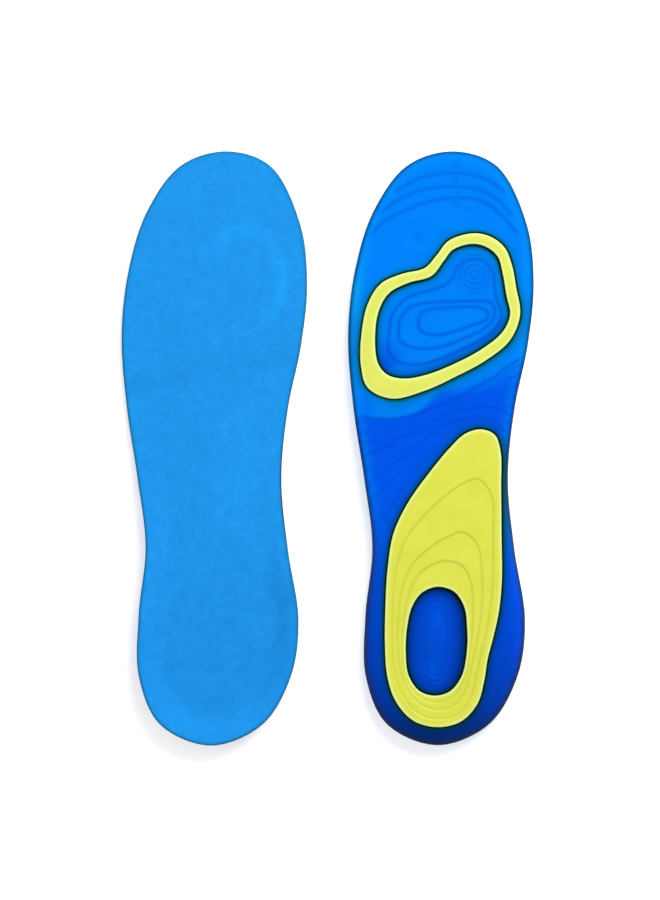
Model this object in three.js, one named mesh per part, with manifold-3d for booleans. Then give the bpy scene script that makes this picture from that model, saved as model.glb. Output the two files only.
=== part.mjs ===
// A pair of full-length gel shoe insoles, lying side by side with the toes towards +Y.
// The left insole lies as it does in a shoe, velour side up. The right one lies face down, so that its gel
// underside shows.
//
// Each insole is five pieces: a velour top cover, the hot-melt film that bonds it, a moulded blue gel body
// with a shallow heel cup, and two firmer yellow gel inserts set in pockets in its underside: a loop round
// the ball of the foot, and a long heel and arch insert with an oval window. The blue gel fills the loop and
// shows through the window.
//
// Everything is in millimetres. An insole is drawn as a left foot seen from above: +X is the big-toe side,
// +Y the toes, and z = 0 is the plane that the two yellow inserts stand on. The right insole is its mirror
// image, turned over.

import * as THREE from "three";
import { mergeVertices } from "three/addons/utils/BufferGeometryUtils.js";
import Module from "manifold-3d";

const wasm = await Module();
wasm.setup();

// ---- Driving dimensions ----
const PAIR_GAP = 18.6; // clear floor between the two insoles
const GEL_BASE = 0.5; // how far the blue gel stays above the inserts' faces
const GEL_TOP = { fore: 3.2, heel: 5.4 }; // the gel's upper face along the middle
const RIM_TOP = { fore: 3.2, heel: 11 }; // the gel's upper face at the outline
const RIM_LIP = { fore: 1.2, heel: 1.8 }; // thickness of the gel where it meets the outline
const WALL_WIDTH = { fore: 1.6, lateralHeel: 7.6, medialHeel: 8 }; // plan width of the rounded underside edge
const CUP_WIDTH = 14; // width in plan over which the upper face climbs to the rim
const LAYER_GAP = 0.1; // between the bonded layers
const PIECE_GAP = 0.3; // between an insert and its pocket
const FILM = { thickness: 0.2, inset: 1.5 };
const COVER = { thickness: 0.9, inset: 0.5 };
const RING = { thickness: 2, panelFloor: 1.3 }; // the forefoot loop, and the height of the gel inside it
const INSERT = { thickness: 3.4, step: 0.3 }; // the heel insert, and the rise of each of its terraces
const WINDOW = { floor: 2.4, domeTop: 1.3, domeShare: 0.72, domeSunk: 0.4 }; // the gel in the heel window
const BELOW = -5; // where cutters start, clear under the part
const WIDE = 200; // a width that spans any piece

// Where along the foot each height or width starts and stops changing, from forefoot to heel.
const MIDDLE_CLIMB = [40, -60];
const LIP_CLIMB = [30, -90];
const RIM_CLIMB = { lateral: [30, -90], medial: [50, -75] };
const WALL_CLIMB = { lateral: [5, -90], medial: [-10, -85] };
const SIDE_BLEND = 25; // half the width over which the little-toe side blends into the big-toe side

// How finely the outlines and the curved edges are faceted.
const OUTLINE_STEPS = 64;
const LOOP_STEPS = 52;
const TERRACE_STEPS = 39;
const WINDOW_STEPS = 26;
const DOME_STEPS = [20, 10];
const EDGE_OFFSETS = [0, 0.5, 1.5, 3.5, 6.5, 10, CUP_WIDTH];

// ---- Outlines, as closed smooth curves through these points, counter-clockwise ----
const OUTLINE = [
  [5.5, 135], [-15.3, 128.6], [-30.5, 108.2], [-38.9, 82], [-42.3, 52], [-40, 19], [-35, -14],
  [-31.3, -45], [-34.4, -76], [-34.2, -104], [-24.6, -125.5], [-1.5, -135], [21.9, -125.4],
  [34.9, -103.2], [38.2, -78], [33.4, -46], [30.4, -14], [33.4, 18], [39.4, 47], [42.1, 75],
  [38.9, 102], [25.4, 128.3],
];
const RING_OUTER = [
  [14.5, 97.6], [3.4, 94.2], [-2.2, 87.5], [-7.5, 81.8], [-18.2, 79], [-27.5, 74.6], [-33.4, 65.5],
  [-36.3, 52], [-36.6, 37.4], [-33.5, 27.2], [-22.5, 22.2], [-6.9, 26], [6.2, 32], [20.3, 39.6],
  [31.3, 48.8], [35.9, 60.5], [34.1, 73], [32.2, 83.1], [28.9, 91], [22.5, 96],
];
const RING_INNER = [
  [14, 92.6], [5.3, 89.9], [1.3, 85], [-4.4, 78], [-15, 74.8], [-23.6, 70.2], [-28.4, 61.9], [-30, 48],
  [-28.5, 38], [-24.2, 33.1], [-16.5, 31.5], [-6.5, 33.3], [6.8, 38.6], [18.9, 45.2], [27.9, 52.8],
  [31.2, 60.5], [29.6, 69], [27.9, 79], [25.7, 86.7], [20.7, 91.1],
];
const INSERT_OUTER = [
  [18, 8.4], [11, 6.5], [4.3, 0.5], [-5.2, -10.9], [-15.3, -25.1], [-21.8, -39], [-24.5, -55],
  [-25.5, -72], [-25.7, -90], [-24.6, -104], [-20.7, -115.3], [-12.6, -124], [-1.5, -126.8],
  [9.1, -124.1], [16.4, -116.1], [19.4, -106], [21, -96], [23.6, -86], [26.2, -74], [27.5, -60],
  [27.4, -40], [27.2, -18], [27, -2], [24.4, 5.8],
];
const WINDOW_EDGE = [
  [-2, -63.2], [-8.9, -66], [-13.2, -72.1], [-15.4, -81], [-16.1, -93], [-14.8, -103.3], [-9.9, -110.3],
  [-3, -112.4], [4, -110.3], [9.2, -103.4], [11.5, -92], [11.6, -82], [10.2, -72], [5.6, -65.3],
];
// The three steps between the insert's flat border and its window, from the widest to the tightest.
const TERRACES = [
  [
    [16.8, -14.3], [9.5, -16.4], [1.5, -22], [-8, -31], [-16, -41], [-20.8, -55], [-22.3, -70],
    [-22.6, -87], [-21.6, -101], [-17.8, -112.4], [-11, -120.6], [-1.5, -123.3], [8, -120.6],
    [13.6, -112.8], [16.2, -102.5], [18.4, -92], [21.4, -79], [23.3, -62], [23.6, -40], [22.9, -22],
  ],
  [
    [10, -38.4], [3, -40.4], [-6, -46], [-13.5, -53.5], [-18, -64], [-19.9, -77], [-20.1, -90], [-18.8, -101],
    [-15.4, -110], [-9.6, -116.8], [-1.8, -119.2], [6, -116.9], [11, -109.8], [13.7, -99.5], [16.2, -88],
    [18.3, -74], [18.4, -56], [16.4, -44],
  ],
  [
    [3.4, -51.4], [-3, -52.6], [-9.5, -56.6], [-14, -64], [-16.7, -74], [-18, -86], [-17.7, -97],
    [-14.8, -107], [-9.3, -113.6], [-2.3, -115.7], [4.4, -113.8], [9.4, -107.5], [12.1, -97],
    [13.9, -84], [14.5, -72], [13.4, -61], [9.8, -54],
  ],
];

const { lerp, smoothstep, clamp } = THREE.MathUtils;

/** A value that goes from its forefoot figure to its heel figure as y falls from start to end. */
const alongFoot = (y, fore, heel, [start, end]) => lerp(fore, heel, smoothstep(-y, -start, -end));

/** 0 on the little-toe side, 1 on the big-toe side. */
const medialShare = (x) => smoothstep(x, -SIDE_BLEND, SIDE_BLEND);

const rimTop = (x, y) =>
  lerp(
    alongFoot(y, RIM_TOP.fore, RIM_TOP.heel, RIM_CLIMB.lateral),
    alongFoot(y, RIM_TOP.fore, RIM_TOP.heel, RIM_CLIMB.medial),
    medialShare(x),
  );

const wallWidth = (x, y) =>
  lerp(
    alongFoot(y, WALL_WIDTH.fore, WALL_WIDTH.lateralHeel, WALL_CLIMB.lateral),
    alongFoot(y, WALL_WIDTH.fore, WALL_WIDTH.medialHeel, WALL_CLIMB.medial),
    medialShare(x),
  );

/** The gel's upper face, at a point of the plan whose distance inside the outline is d. */
function gelTop(x, y, d) {
  const middle = alongFoot(y, GEL_TOP.fore, GEL_TOP.heel, MIDDLE_CLIMB);
  return lerp(rimTop(x, y), middle, smoothstep(d, 0, CUP_WIDTH));
}

/** The gel's underside before its pockets are cut: flat, and rounded up to the rim like a quarter ellipse. */
function gelUnderside(x, y, d) {
  const lip = alongFoot(y, RIM_LIP.fore, RIM_LIP.heel, LIP_CLIMB);
  const across = 1 - clamp(d / wallWidth(x, y), 0, 1);
  return GEL_BASE + (rimTop(x, y) - lip - GEL_BASE) * (1 - Math.sqrt(1 - across * across));
}

// ---- Plan outlines ----

/** Evenly spaced points along the closed smooth curve through the given ones. */
function smoothLoop(points, steps) {
  const corners = points.map(([x, y]) => new THREE.Vector3(x, y, 0));
  const curve = new THREE.CatmullRomCurve3(corners, true, "centripetal");
  return curve.getSpacedPoints(steps).slice(0, steps).map((p) => new THREE.Vector2(p.x, p.y));
}

/** The loop moved inwards by a distance, or outwards by a negative one. */
function inset(loop, distance) {
  return loop.map((p, i) => {
    const before = loop[(i + loop.length - 1) % loop.length];
    const after = loop[(i + 1) % loop.length];
    const along = after.clone().sub(before).normalize();
    return new THREE.Vector2(p.x - along.y * distance, p.y + along.x * distance);
  });
}

const outline = smoothLoop(OUTLINE, OUTLINE_STEPS);
const ringOuter = smoothLoop(RING_OUTER, LOOP_STEPS);
const ringInner = smoothLoop(RING_INNER, LOOP_STEPS);
const insertOuter = smoothLoop(INSERT_OUTER, LOOP_STEPS);
const windowEdge = smoothLoop(WINDOW_EDGE, WINDOW_STEPS);
const terraces = TERRACES.map((points) => smoothLoop(points, TERRACE_STEPS));

// ---- Solids ----

/**
 * A closed sheet over the insole's plan, between two height functions of (x, y, distance inside the outline).
 * Its edge lies edgeInset inside the outline. Near the edge it has rings of vertices, and its middle is one
 * triangulated polygon.
 */
function layer(underside, top, edgeInset = 0) {
  const offsets = [edgeInset, ...EDGE_OFFSETS.filter((d) => d > edgeInset)];
  const rings = offsets.map((d) => inset(outline, d));
  const count = outline.length;
  const vertices = [];
  for (const height of [underside, top]) {
    rings.forEach((ring, r) => ring.forEach((p) => vertices.push(p.x, p.y, height(p.x, p.y, offsets[r]))));
  }
  const at = (face, r, i) => (face * rings.length + r) * count + (i % count);
  const triangles = [];
  const quad = (a, b, c, d) => triangles.push(a, b, c, a, c, d);
  for (let i = 0; i < count; i++) {
    quad(at(0, 0, i), at(0, 0, i + 1), at(1, 0, i + 1), at(1, 0, i));
    for (let r = 0; r + 1 < rings.length; r++) {
      quad(at(1, r, i), at(1, r, i + 1), at(1, r + 1, i + 1), at(1, r + 1, i));
      quad(at(0, r, i), at(0, r + 1, i), at(0, r + 1, i + 1), at(0, r, i + 1));
    }
  }
  const innermost = rings.length - 1;
  for (const [a, b, c] of THREE.ShapeUtils.triangulateShape(rings[innermost], [])) {
    triangles.push(at(1, innermost, a), at(1, innermost, b), at(1, innermost, c));
    triangles.push(at(0, innermost, a), at(0, innermost, c), at(0, innermost, b));
  }
  return new THREE.BufferGeometry()
    .setAttribute("position", new THREE.Float32BufferAttribute(vertices, 3))
    .setIndex(triangles);
}

/** A plate with the loop's outline, from z = low to z = high. */
function plate(loop, low, high) {
  const shape = new THREE.Shape(loop);
  return new THREE.ExtrudeGeometry(shape, { depth: high - low, bevelEnabled: false }).translate(0, 0, low);
}

/** A closed three.js geometry as a manifold-3d solid. */
function solid(geometry) {
  const bare = new THREE.BufferGeometry().setAttribute("position", geometry.getAttribute("position"));
  const merged = mergeVertices(bare.setIndex(geometry.index), 1e-4);
  return new wasm.Manifold(
    new wasm.Mesh({
      numProp: 3,
      vertProperties: new Float32Array(merged.getAttribute("position").array),
      triVerts: new Uint32Array(merged.index.array),
    }),
  );
}

/** A manifold-3d solid as a three.js geometry. */
function geometryOf(made) {
  const { vertProperties, triVerts } = made.getMesh();
  const geometry = new THREE.BufferGeometry()
    .setAttribute("position", new THREE.BufferAttribute(vertProperties, 3))
    .setIndex(new THREE.BufferAttribute(triVerts, 1));
  geometry.computeVertexNormals();
  return geometry;
}

// ---- The five pieces of a left insole ----

/** The blue gel, with a pocket for each insert, a sunk panel inside the loop and a dome in the window. */
function gelBody() {
  const pocketEdge = (loop) => inset(loop, -PIECE_GAP);
  const ringPocket = solid(plate(pocketEdge(ringOuter), BELOW, RING.thickness + PIECE_GAP)).subtract(
    solid(plate(inset(ringInner, PIECE_GAP), RING.panelFloor, RING.thickness + 2 * PIECE_GAP)),
  );
  const insertPocket = solid(plate(pocketEdge(insertOuter), BELOW, INSERT.thickness + PIECE_GAP)).subtract(
    solid(plate(inset(windowEdge, PIECE_GAP), WINDOW.floor, INSERT.thickness + 2 * PIECE_GAP)),
  );
  return geometryOf(
    solid(layer(gelUnderside, gelTop)).subtract(ringPocket).subtract(insertPocket).add(windowDome()),
  );
}

/** The low dome on the gel behind the window, half of an ellipsoid that is sunk a little into the gel. */
function windowDome() {
  const box = new THREE.Box2().setFromPoints(windowEdge);
  const middle = box.getCenter(new THREE.Vector2());
  const half = box.getSize(new THREE.Vector2()).multiplyScalar(WINDOW.domeShare / 2);
  const base = WINDOW.floor + WINDOW.domeSunk;
  const dome = new THREE.SphereGeometry(1, ...DOME_STEPS)
    .rotateX(Math.PI / 2)
    .scale(half.x, half.y, base - WINDOW.domeTop)
    .translate(middle.x, middle.y, base);
  const behindFace = new THREE.BoxGeometry(WIDE, WIDE, 2).translate(middle.x, middle.y, base + 1);
  return solid(dome).subtract(solid(behindFace));
}

/** The yellow loop round the ball of the foot. */
function forefootRing() {
  const shape = new THREE.Shape(ringOuter);
  shape.holes.push(new THREE.Path(ringInner));
  return new THREE.ExtrudeGeometry(shape, { depth: RING.thickness, bevelEnabled: false });
}

/** The yellow heel and arch insert: flat at its border, stepping away from the ground towards its window. */
function heelInsert() {
  const whole = solid(plate(insertOuter, 0, INSERT.thickness));
  const stepped = terraces.reduce(
    (body, loop, i) => body.subtract(solid(plate(loop, BELOW, INSERT.step * (i + 1)))),
    whole,
  );
  const window = solid(plate(windowEdge, BELOW, INSERT.thickness + 1));
  return geometryOf(stepped.subtract(window));
}

const filmUnderside = (x, y, d) => gelTop(x, y, d) + LAYER_GAP;
const filmTop = (x, y, d) => filmUnderside(x, y, d) + FILM.thickness;
const coverUnderside = (x, y, d) => filmTop(x, y, d) + LAYER_GAP;
const coverTop = (x, y, d) => coverUnderside(x, y, d) + COVER.thickness;

const bondingFilm = () => layer(filmUnderside, filmTop, FILM.inset);
const topCover = () => layer(coverUnderside, coverTop, COVER.inset);

// ---- Materials ----
const velour = new THREE.MeshStandardMaterial({ color: 0x2097ee, roughness: 0.95, metalness: 0 });
const meltFilm = new THREE.MeshStandardMaterial({ color: 0xe8eef2, roughness: 0.6, metalness: 0 });
const blueGel = new THREE.MeshStandardMaterial({ color: 0x0562e0, roughness: 0.4, metalness: 0 });
const yellowGel = new THREE.MeshStandardMaterial({ color: 0xe4e552, roughness: 0.45, metalness: 0 });

const PIECES = [
  ["top_cover", topCover, velour],
  ["bonding_film", bondingFilm, meltFilm],
  ["gel_body", gelBody, blueGel],
  ["forefoot_ring", forefootRing, yellowGel],
  ["heel_insert", heelInsert, yellowGel],
];

// ---- Assembly ----

/** The mirror image of a geometry, left foot for right, with its faces still pointing out. */
function mirrored(geometry) {
  const flipped = geometry.index ? geometry.toNonIndexed() : geometry.clone();
  const position = flipped.scale(-1, 1, 1).getAttribute("position");
  const a = new THREE.Vector3();
  const b = new THREE.Vector3();
  for (let i = 0; i < position.count; i += 3) {
    a.fromBufferAttribute(position, i);
    b.fromBufferAttribute(position, i + 1);
    position.setXYZ(i, b.x, b.y, b.z);
    position.setXYZ(i + 1, a.x, a.y, a.z);
  }
  return flipped;
}

function insole(side) {
  const group = new THREE.Group();
  for (const [name, make, material] of PIECES) {
    const mesh = new THREE.Mesh(side === "right" ? mirrored(make()) : make(), material);
    mesh.name = `${side}_${name}`;
    group.add(mesh);
  }
  return group;
}

const halfWidth = new THREE.Box2().setFromPoints(outline).getSize(new THREE.Vector2()).x / 2;
const middleX = new THREE.Box2().setFromPoints(outline).getCenter(new THREE.Vector2()).x;

const left = insole("left");
left.position.x = -PAIR_GAP / 2 - halfWidth - middleX;

// Face down, the right insole rests on the widest part of its heel rim and on the tip of its toe.
const HEEL_REST_Y = -84;
const TOE_REST_Y = 134;
const faceDownTilt = Math.atan((rimTop(0, HEEL_REST_Y) - RIM_TOP.fore) / (TOE_REST_Y - HEEL_REST_Y));

const right = insole("right");
right.rotation.set(-faceDownTilt, Math.PI, 0);
right.position.x = PAIR_GAP / 2 + halfWidth - middleX;

const pair = new THREE.Group();
pair.add(left, right);
pair.updateMatrixWorld(true);
const rightBox = new THREE.Box3().setFromObject(right, true);
const leftBox = new THREE.Box3().setFromObject(left, true);
right.position.z = -rightBox.min.z;
right.position.y = leftBox.max.y - rightBox.max.y;

export default pair;
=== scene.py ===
"""The looks of a pair of gel insoles: the left one velour side up, the right one face down beside it.

Each insole is drawn once, in millimetres, as a left foot seen from above: +X is the big-toe side, +Y the
toes, and z = 0 is the plane that its two yellow inserts stand on. The right insole is its mirror image,
turned over.
"""

import math

import bmesh
import bpy
import numpy as np
from mathutils import Matrix, Vector
from mathutils.geometry import delaunay_2d_cdt
from mathutils.kdtree import KDTree


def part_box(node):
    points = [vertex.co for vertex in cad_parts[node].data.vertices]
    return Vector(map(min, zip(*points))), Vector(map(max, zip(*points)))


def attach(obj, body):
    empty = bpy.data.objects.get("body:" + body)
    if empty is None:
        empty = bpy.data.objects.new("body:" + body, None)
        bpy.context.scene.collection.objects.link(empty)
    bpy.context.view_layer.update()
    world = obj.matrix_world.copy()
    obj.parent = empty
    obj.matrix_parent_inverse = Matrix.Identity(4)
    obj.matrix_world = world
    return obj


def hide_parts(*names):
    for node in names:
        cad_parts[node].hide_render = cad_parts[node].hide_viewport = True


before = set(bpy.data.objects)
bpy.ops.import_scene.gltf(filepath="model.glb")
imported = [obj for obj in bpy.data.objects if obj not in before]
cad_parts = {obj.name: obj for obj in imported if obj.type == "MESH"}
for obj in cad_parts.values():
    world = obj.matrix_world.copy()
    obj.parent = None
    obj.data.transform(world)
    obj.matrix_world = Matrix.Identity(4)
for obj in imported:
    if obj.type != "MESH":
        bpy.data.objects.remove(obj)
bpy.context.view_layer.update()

MM = 0.001

# ---- The insole's driving dimensions, as in the CAD part ----
GEL_BASE = 0.5
GEL_TOP = (3.2, 5.4)  # forefoot, heel
RIM_TOP = (3.2, 11.0)
RIM_LIP = (1.2, 1.8)
WALL_LATERAL = (1.6, 7.6)
WALL_MEDIAL = (1.6, 8.0)
CUP_WIDTH = 14.0
PIECE_GAP = 0.5  # a little wider than in the CAD part, so that a dark line shows round the yellow pieces
RING_DEPTH = 2.0
PANEL_FLOOR = 1.3
INSERT_DEPTH = 3.4
INSERT_STEP = 0.3
WINDOW_FLOOR = 2.4
DOME_TOP = 1.3
COVER_INSET = 0.5
COVER_TOP = 1.3  # above the gel's upper face
FILM_INSET = 1.5
FILM_TOP = 0.33
FILM_BOTTOM = 0.02
COVER_BOTTOM = FILM_TOP + 0.02

# Where along the foot each height or width starts and stops changing, from forefoot to heel.
MIDDLE_CLIMB = (40, -60)
LIP_CLIMB = (30, -90)
RIM_CLIMB = {"lateral": (30, -90), "medial": (50, -75)}
WALL_CLIMB = {"lateral": (5, -90), "medial": (-10, -85)}
SIDE_BLEND = 25  # half the width over which the little-toe side blends into the big-toe side

# ---- Roundings and relief that the fine meshes add ----
GEL_EDGE = 0.35
YELLOW_EDGE = 0.5
COVER_EDGE = 0.35
FILM_EDGE = 0.05
EDGE_STEPS = (0.0, 0.03, 0.1, 0.2, 0.35, 0.6)
COVER_RELIEF = 0.12  # height for each 1 of cover_relief
UNDERSIDE_RELIEF = 0.16  # depth of the deepest line scored in the underside
PANEL_RELIEF = 0.25  # depth of the contours in the sunk panel
PANEL_EDGE_DROP = 0.55  # how much deeper the sunk panel is at its edge than PANEL_FLOOR
PANEL_CROWN = (0.6, 8)  # how far the panel comes up again, and over what width
PANEL_STEP = 0.1  # how far the panel comes up at each of its two inner contours
WINDOW_RELIEF = 0.2  # depth of the contours at the ends of the heel window
WINDOW_EDGE_DROP = 0.5  # how much deeper the window is at its edge than WINDOW_FLOOR
DOME_SHARE = 0.42  # the dome's half length and width, as a share of the window's whole ones
DOME_RIDGE = 0.15  # height of the ridge along the dome
RING_CROWN = 0.12  # how far the loop's face falls towards its two edges
TERRACE_GROOVE = 0.05  # the faint groove at the foot of each terrace's step

# ---- Outlines, as closed smooth curves through these points, counter-clockwise ----
OUTLINE = [
    (5.5, 135), (-15.3, 128.6), (-30.5, 108.2), (-38.9, 82), (-42.3, 52), (-40, 19), (-35, -14),
    (-31.3, -45), (-34.4, -76), (-34.2, -104), (-24.6, -125.5), (-1.5, -135), (21.9, -125.4),
    (34.9, -103.2), (38.2, -78), (33.4, -46), (30.4, -14), (33.4, 18), (39.4, 47), (42.1, 75),
    (38.9, 102), (25.4, 128.3),
]
RING_OUTER = [
    (14.5, 97.6), (3.4, 94.2), (-2.2, 87.5), (-7.5, 81.8), (-18.2, 79), (-27.5, 74.6), (-33.4, 65.5),
    (-36.3, 52), (-36.6, 37.4), (-33.5, 27.2), (-22.5, 22.2), (-6.9, 26), (6.2, 32), (20.3, 39.6),
    (31.3, 48.8), (35.9, 60.5), (34.1, 73), (32.2, 83.1), (28.9, 91), (22.5, 96),
]
RING_INNER = [
    (14, 92.6), (5.3, 89.9), (1.3, 85), (-4.4, 78), (-15, 74.8), (-23.6, 70.2), (-28.4, 61.9),
    (-30, 48), (-28.5, 38), (-24.2, 33.1), (-16.5, 31.5), (-6.5, 33.3), (6.8, 38.6), (18.9, 45.2),
    (27.9, 52.8), (31.2, 60.5), (29.6, 69), (27.9, 79), (25.7, 86.7), (20.7, 91.1),
]
INSERT_OUTER = [
    (18, 8.4), (11, 6.5), (4.3, 0.5), (-5.2, -10.9), (-15.3, -25.1), (-21.8, -39), (-24.5, -55),
    (-25.5, -72), (-25.7, -90), (-24.6, -104), (-20.7, -115.3), (-12.6, -124), (-1.5, -126.8),
    (9.1, -124.1), (16.4, -116.1), (19.4, -106), (21, -96), (23.6, -86), (26.2, -74), (27.5, -60),
    (27.4, -40), (27.2, -18), (27, -2), (24.4, 5.8),
]
WINDOW_EDGE = [
    (-2, -63.2), (-8.9, -66), (-13.2, -72.1), (-15.4, -81), (-16.1, -93), (-14.8, -103.3),
    (-9.9, -110.3), (-3, -112.4), (4, -110.3), (9.2, -103.4), (11.5, -92), (11.6, -82), (10.2, -72),
    (5.6, -65.3),
]
# The heel insert's three steps, from the widest to the tightest.
TERRACES = [
    [
        (16.8, -14.3), (9.5, -16.4), (1.5, -22), (-8, -31), (-16, -41), (-20.8, -55), (-22.3, -70),
        (-22.6, -87), (-21.6, -101), (-17.8, -112.4), (-11, -120.6), (-1.5, -123.3), (8, -120.6),
        (13.6, -112.8), (16.2, -102.5), (18.4, -92), (21.4, -79), (23.3, -62), (23.6, -40), (22.9, -22),
    ],
    [
        (10, -38.4), (3, -40.4), (-6, -46), (-13.5, -53.5), (-18, -64), (-19.9, -77), (-20.1, -90),
        (-18.8, -101), (-15.4, -110), (-9.6, -116.8), (-1.8, -119.2), (6, -116.9), (11, -109.8),
        (13.7, -99.5), (16.2, -88), (18.3, -74), (18.4, -56), (16.4, -44),
    ],
    [
        (3.4, -51.4), (-3, -52.6), (-9.5, -56.6), (-14, -64), (-16.7, -74), (-18, -86), (-17.7, -97),
        (-14.8, -107), (-9.3, -113.6), (-2.3, -115.7), (4.4, -113.8), (9.4, -107.5), (12.1, -97),
        (13.9, -84), (14.5, -72), (13.4, -61), (9.8, -54),
    ],
]

# Lines scored in the gel. Trim lines cross the toe; contours cross the arch and ring the sunk panel.
TRIM_LINES = [
    [
        (-20, 117), (-11.9, 121.6), (-4, 124), (4, 124.9), (11, 124.4), (17.7, 123), (23.3, 120.5),
        (28.6, 116),
    ],
    [
        (-27, 107.5), (-18.7, 113), (-9.6, 117), (0, 118.5), (9.5, 118.5), (18, 117), (25, 113),
        (31.3, 106.5),
    ],
    [
        (-32, 97), (-25, 103.6), (-16, 108), (-6, 111.7), (6, 113.4), (16, 112.8), (23, 109.3),
        (29, 104), (34, 98),
    ],
    [
        (6.8, 129.5), (6.8, 120), (6.8, 110),
    ],
]
TRIM_DEPTHS = (0.7, 0.7, 0.8, 0.4)
GATE_MARKS = [(-10.5, 95.7, 1.9), (-19.8, 48, 1.1)]  # dimples left by the moulding, with their radii
ARCH_DEPTHS = (1.0, 0.5, 0.9, 0.9, 0.6)
ARCH_CONTOURS = [
    [
        (-38.5, 14.5), (-30.5, 13.4), (-22.7, 13.2), (-14, 14.4), (-7.1, 16.6), (-2, 18.6), (3.3, 20.9),
        (8.5, 23.2), (14.5, 26.6), (19.6, 29.5), (24.1, 31.8), (28.1, 35.3), (32.6, 38.3), (37.4, 41),
    ],
    [
        (-8, 15.6), (-0.6, 17.4), (5.9, 19.7), (12.4, 22), (18.8, 24.3), (26, 26), (34.5, 26),
    ],
    [
        (-35.8, -3.2), (-27.9, -0.9), (-18.8, 4.1), (-12.3, 6.9), (-7.1, 9.9), (-2, 12.6), (3.3, 15.1),
        (8.5, 16.7), (13.6, 17.9), (18.8, 18.4), (24, 17.9), (29.2, 16.3), (32.8, 14),
    ],
    [
        (-34.6, -15), (-22.7, -8), (-14.9, -2.8), (-11, 1.1), (-7.1, 4.1), (-2, 7.3), (3.5, 10.9),
        (9.6, 13), (17.5, 14), (21.5, 13.3), (25.3, 10.8), (28.3, 7.6), (30.6, 3),
    ],
    [
        (-31.6, -38), (-24, -28.5), (-16.5, -17), (-9.5, -7.5), (-2.5, 1.5), (5, 8), (12, 11.3),
        (18, 12), (23.5, 10), (27.6, 5), (29.4, -4),
    ],
]
PANEL_CIRCLE = (15.0, 78.6)
PANEL_CIRCLE_RADII = (1.8, 4.3, 6.6, 8.8)
PANEL_DEPTHS = (1, 1, 1, 0.65, 0.65, 0.65, 0.4)  # of the three contours, then the circles
PANEL_CONTOURS = [
    [
        (-10.5, 57), (-9.4, 53), (-3.7, 51.1), (4.2, 52.2), (13.3, 55.3), (20.1, 57.9), (21.3, 60.7),
        (18.3, 63.2), (11, 63.9), (4.2, 63.5), (-6, 62.5), (-9.6, 60.2),
    ],
    [
        (-19.4, 53.6), (-19, 48.8), (-16.2, 46.4), (-11.7, 45.1), (-6, 44.8), (-0.3, 45.7), (4.2, 47),
        (8.8, 48.9), (13.3, 50.8), (18.4, 53.2), (21.9, 56.3), (24.1, 59.7), (24.4, 62.7), (23, 65.3),
        (21, 66.2), (13.3, 66.4), (4.2, 66.2), (-3.7, 65.9), (-9.4, 65.2), (-14, 63.7), (-17.4, 60.5),
        (-19, 57),
    ],
    [
        (-23.6, 53.6), (-24.3, 47.5), (-23.6, 42.8), (-20, 39), (-14.6, 37.6), (-8.5, 38), (-0.3, 40.2),
        (8.8, 44.3), (17.5, 48.3), (23.5, 52.5), (26.7, 57.5), (27.2, 62), (25, 67.5), (24, 74),
        (23.6, 79), (21.9, 82), (18.6, 85), (14.5, 85.4), (10, 84.4), (7.2, 81.8), (5.4, 77.8),
        (2.5, 74.5), (-2, 72.3), (-9.4, 70.4), (-15.5, 68), (-20.2, 63.7), (-22.8, 59),
    ],
]
WINDOW_CONTOURS = (3.2, 5.8, 8.4)
# Painted highlights on the dome.
DOME_HIGHLIGHTS = [(-2.2, -78.0), (-4.0, -100.5)]  # the two places on the dome where the gel looks palest
RIPPLES = 9  # waves across the arch

# ---- How finely the meshes are made ----
LOOP_SPACING = 0.8  # between the points of a smooth line
CIRCLE_SPACING = 0.5
CURVE_STEPS = 60  # between two given points of a smooth line, before its points are evenly spaced
ROW_OFFSETS = (-1.1, -0.7, -0.4, -0.2, 0, 0.2, 0.4, 0.7, 1.1)  # rows of points beside each scored line
EDGE_CLEARANCE = 0.3  # of a sheet's free points from its edges
WELD_DISTANCE = 0.004


# ---- Curves in the plan ----


def lerp(a, b, t):
    return a + (b - a) * t


def smoothstep(x, start, end):
    t = np.clip((x - start) / (end - start), 0, 1)
    return t * t * (3 - 2 * t)


def along_foot(y, fore_and_heel, climb):
    """A value that goes from its forefoot figure to its heel figure as y falls through a climb."""
    start, end = climb
    return lerp(*fore_and_heel, smoothstep(-y, -start, -end))


def band(values, middle, width):
    """1 where the values equal the middle one, falling to 0 over a width on each side."""
    return np.exp(-(((values - middle) / width) ** 2))


def hill(points, centre, radii):
    """1 at a centre, falling to 0 round it over a radius in x and one in y."""
    x, y = points.T
    return np.exp(-(((x - centre[0]) / radii[0]) ** 2) - ((y - centre[1]) / radii[1]) ** 2)


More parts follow.
